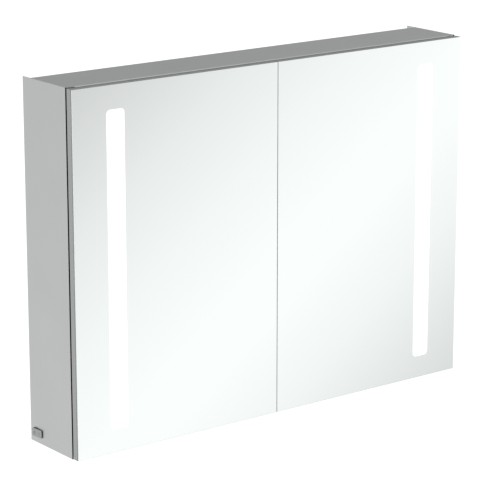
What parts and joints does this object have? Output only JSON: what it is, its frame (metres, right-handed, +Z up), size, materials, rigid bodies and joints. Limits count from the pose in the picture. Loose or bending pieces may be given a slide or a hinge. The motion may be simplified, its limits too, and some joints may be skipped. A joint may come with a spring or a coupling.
{
  "type": "medicine cabinet with mirror",
  "caption": "Wall-hung bathroom mirror cabinet with hinged mirror doors, lit upright strips, glass shelves, a hook-on wall rail and a rocker light switch.",
  "frame": {"origin": "middle of the wall rail's row of screw holes, on the wall plane", "axes": "+X to the right as seen by the user, +Y into the wall, +Z up; the mirror doors face -Y"},
  "size_m": [1.0053, 0.173, 0.75],
  "materials": {
    "anodised_aluminium": "satin anodised",
    "black_plastic": "moulded housing",
    "black_rubber": "moulded",
    "chromed_zinc": "chromed die casting",
    "clear_bumper": "clear soft dome",
    "clear_glass": "clear float glass, ground edge",
    "contact_brass": "stamped blade",
    "driver_case": "moulded case",
    "foam_board": "foamed board, cut",
    "grey_plastic": "moulded cover",
    "lamp_board": "white-coated lamp board",
    "nickel_plated_steel": "nickel-plated pressing",
    "opal_acrylic": "opal diffuser, lit",
    "rear_sheet": "coated sheet",
    "rocker_plastic": "moulded paddle",
    "screw_steel": "zinc-plated",
    "silvered_glass": "silvered float glass, polished edge",
    "terminal_plastic": "moulded block",
    "zinc_plated_steel": "zinc-plated folded sheet"
  },
  "bodies": {
    "cabinet": {"bottom_panel": "anodised_aluminium", "cable_grommet": "black_rubber", "centre_partition": "anodised_aluminium", "door_bumpers": "clear_bumper", "electrics_cover": "grey_plastic", "hanger_rail": "zinc_plated_steel", "hanger_rail_screws": "screw_steel", "led_driver": "driver_case", "left_edge_seal": "black_rubber", "left_hinge_arm_screws": "screw_steel", "left_hinge_arms": "nickel_plated_steel", "left_hinge_plate_screws": "screw_steel", "left_hinge_plates": "nickel_plated_steel", "left_lower_shelf": "clear_glass", "left_side_frame": "anodised_aluminium", "left_side_skin": "anodised_aluminium", "left_upper_shelf": "clear_glass", "rear_panel": "rear_sheet", "rear_panel_screws": "screw_steel", "right_edge_seal": "black_rubber", "right_hinge_arm_screws": "screw_steel", "right_hinge_arms": "nickel_plated_steel", "right_hinge_plate_screws": "screw_steel", "right_hinge_plates": "nickel_plated_steel", "right_lower_shelf": "clear_glass", "right_side_frame": "anodised_aluminium", "right_side_skin": "anodised_aluminium", "right_upper_shelf": "clear_glass", "shelf_supports": "chromed_zinc", "switch_blades": "contact_brass", "switch_housing": "black_plastic", "terminal_block": "terminal_plastic", "top_panel": "anodised_aluminium", "wall_buffers": "black_rubber", "wall_rail": "zinc_plated_steel"},
    "left_door": {"left_mirror_front": "silvered_glass", "left_light_diffuser": "opal_acrylic", "left_led_strip": "lamp_board", "left_door_core": "foam_board", "left_door_frame": "anodised_aluminium", "left_mirror_rear": "silvered_glass", "left_hinge_cups": "nickel_plated_steel", "left_hinge_pins": "nickel_plated_steel", "left_hinge_cup_screws": "screw_steel"},
    "right_door": {"right_mirror_front": "silvered_glass", "right_light_diffuser": "opal_acrylic", "right_led_strip": "lamp_board", "right_door_core": "foam_board", "right_door_frame": "anodised_aluminium", "right_mirror_rear": "silvered_glass", "right_hinge_cups": "nickel_plated_steel", "right_hinge_pins": "nickel_plated_steel", "right_hinge_cup_screws": "screw_steel"},
    "rocker": {"switch_rocker": "rocker_plastic"}
  },
  "joints": [
    {"name": "left_door_hinge", "type": "hinge", "parent": "cabinet", "child": "left_door", "pos_m": [-0.4908, -0.164, 0], "axis": [0, 0, -1], "range_deg": [0, 95]},
    {"name": "right_door_hinge", "type": "hinge", "parent": "cabinet", "child": "right_door", "pos_m": [0.4908, -0.164, 0], "axis": [0, 0, 1], "range_deg": [0, 95]},
    {"name": "light_switch", "type": "hinge", "parent": "cabinet", "child": "rocker", "pos_m": [-0.4975, -0.0265, -0.6685], "axis": [0, 0, -1], "range_deg": [0, 10]}
  ]
}
